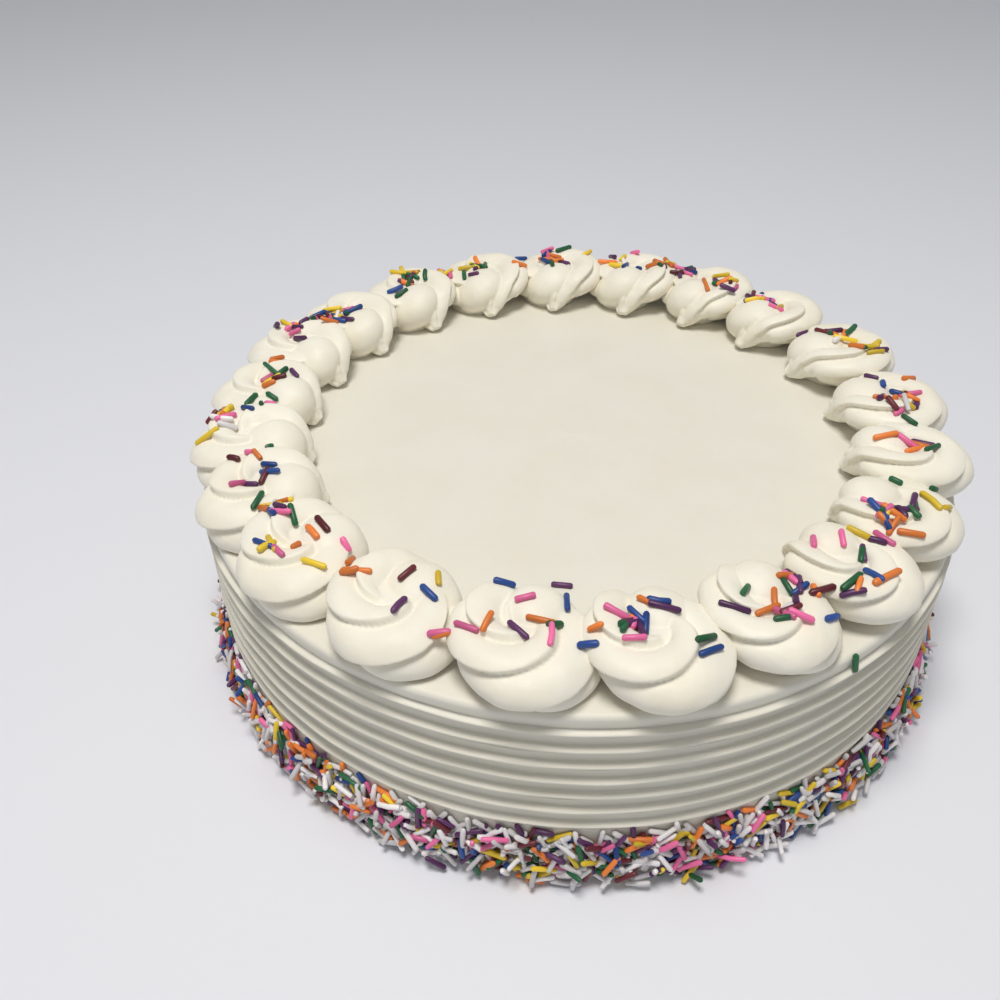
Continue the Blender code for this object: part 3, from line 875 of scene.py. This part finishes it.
def thrown(draw, ground, spot):
    """The colour of a sprinkle thrown at a spot, and the sprinkle, or None where it falls off."""
    heading = polar(1.0, draw.uniform(0.0, 360.0), 0.0)
    length = draw.triangular(SHORT_THROWN, LONG_THROWN, USUAL_THROWN)
    kind = any_kind(draw, ON_SWIRLS)
    return kind, ground.rest(draw, spot, heading, length, THROWN_STEEPEST)


def hanging_rod(draw):
    """The green one that hangs over the edge of the top."""
    height = CAKE_HEIGHT - HANGING_DROP * HANGING_LENGTH
    middle = polar(CAKE_RADIUS - HANGING_INSET, HANGING_BEARING, height)
    direction = polar(HANGING_TILT, HANGING_BEARING, -1.0).normalized()
    return "green", with_length(random_rod(draw, middle, direction), HANGING_LENGTH)


def clear_rods(draw, ground):
    """The ones that stand out most, and the green one over the edge."""
    rods = []
    for colour, bearing, distance, heading, length in CLEAR_SPRINKLES:
        middle = polar(distance * MM, bearing, 0.0)
        direction = polar(1.0, bearing + heading, 0.0)
        rods.append((colour, ground.rest(draw, middle, direction, length * MM, CLEAR_STEEPEST)))
    rods.append(hanging_rod(draw))
    return [pair for pair in rods if pair[1] is not None]


# Camera, floor and light

def make_camera():
    """The camera at the photograph's place, turned by its pan, tilt and roll."""
    elevation = math.radians(CAMERA_ELEVATION)
    pan = math.radians(CAMERA_PAN)
    pitch = math.radians(CAMERA_ELEVATION + CAMERA_TILT)
    roll = math.radians(CAMERA_ROLL)
    lift = CAMERA_DISTANCE * math.sin(elevation) + CAMERA_LIFT
    place = Vector((0.0, -CAMERA_DISTANCE * math.cos(elevation), lift))
    ahead = math.cos(pitch)
    forward = Vector((math.sin(pan) * ahead, math.cos(pan) * ahead, -math.sin(pitch)))
    level = forward.cross(Vector((0.0, 0.0, 1.0))).normalized()
    upright = level.cross(forward)
    right = level * math.cos(roll) + upright * math.sin(roll)
    up = upright * math.cos(roll) - level * math.sin(roll)
    turned = Matrix((right, up, -forward)).transposed().to_4x4()
    data = bpy.data.cameras.new("camera")
    data.lens = CAMERA_LENS
    data.sensor_width = SENSOR_WIDTH
    data.clip_start = CLIP_START
    camera = bpy.data.objects.new("camera", data)
    camera.matrix_world = Matrix.Translation(place) @ turned
    bpy.context.scene.collection.objects.link(camera)
    bpy.context.scene.camera = camera


def make_floor():
    """A large plain pale floor."""
    material, shader = new_material("floor")
    shader.inputs["Base Color"].default_value = (*FLOOR_COLOUR, 1.0)
    shader.inputs["Roughness"].default_value = FLOOR_ROUGHNESS
    sides = ((-1, -1), (1, -1), (1, 1), (-1, 1))
    corners = [(FLOOR_HALF * across, FLOOR_HALF * along, 0.0) for across, along in sides]
    floor = object_from_arrays("floor", corners, [(0, 1, 2, 3)], material)
    floor.location.z = -FLOOR_DROP


def make_lamp():
    """One soft round lamp high over the cake, a little to the left and to the front."""
    data = bpy.data.lights.new("overhead", "AREA")
    data.shape = "DISK"
    data.size = LAMP_SIZE
    data.energy = LAMP_POWER
    data.color = LAMP_COLOUR
    lamp = bpy.data.objects.new("overhead", data)
    lamp.location = LAMP_PLACE
    aim = Vector(LAMP_AIM) - Vector(LAMP_PLACE)
    lamp.rotation_euler = aim.to_track_quat("-Z", "Y").to_euler()
    bpy.context.scene.collection.objects.link(lamp)


def make_sky():
    """A pale sky all round, with colours shown as they are."""
    world = bpy.data.worlds.new("studio")
    world.use_nodes = True
    sky = world.node_tree.nodes["Background"]
    sky.inputs["Color"].default_value = (*SKY_COLOUR, 1.0)
    sky.inputs["Strength"].default_value = SKY_STRENGTH
    bpy.context.scene.world = world
    view = bpy.context.scene.view_settings
    view.view_transform = "Standard"
    view.look = "None"


def main():
    make_camera()
    make_floor()
    make_lamp()
    make_sky()
    icing = icing_material("cream_icing", CAKE_CREAM, CAKE_CREAM_SHADED)
    swirl_icing = icing_material("swirl_cream", SWIRL_CREAM, SWIRL_CREAM_SHADED)
    cake = make_iced_cake(icing)
    swirls = [make_fine_swirl(number, swirl_icing) for number in range(len(SWIRL_BEARINGS))]
    ground = Ground(swirls + [cake])
    rods = band_rods(random.Random(BAND_SEED))
    draw = random.Random(SWIRL_SEED)
    rods += swirl_rods(draw, ground) + clear_rods(draw, ground)
    for name in SPRINKLE_KINDS:
        make_sprinkles(name, [rod for kind, rod in rods if kind == name])


main()
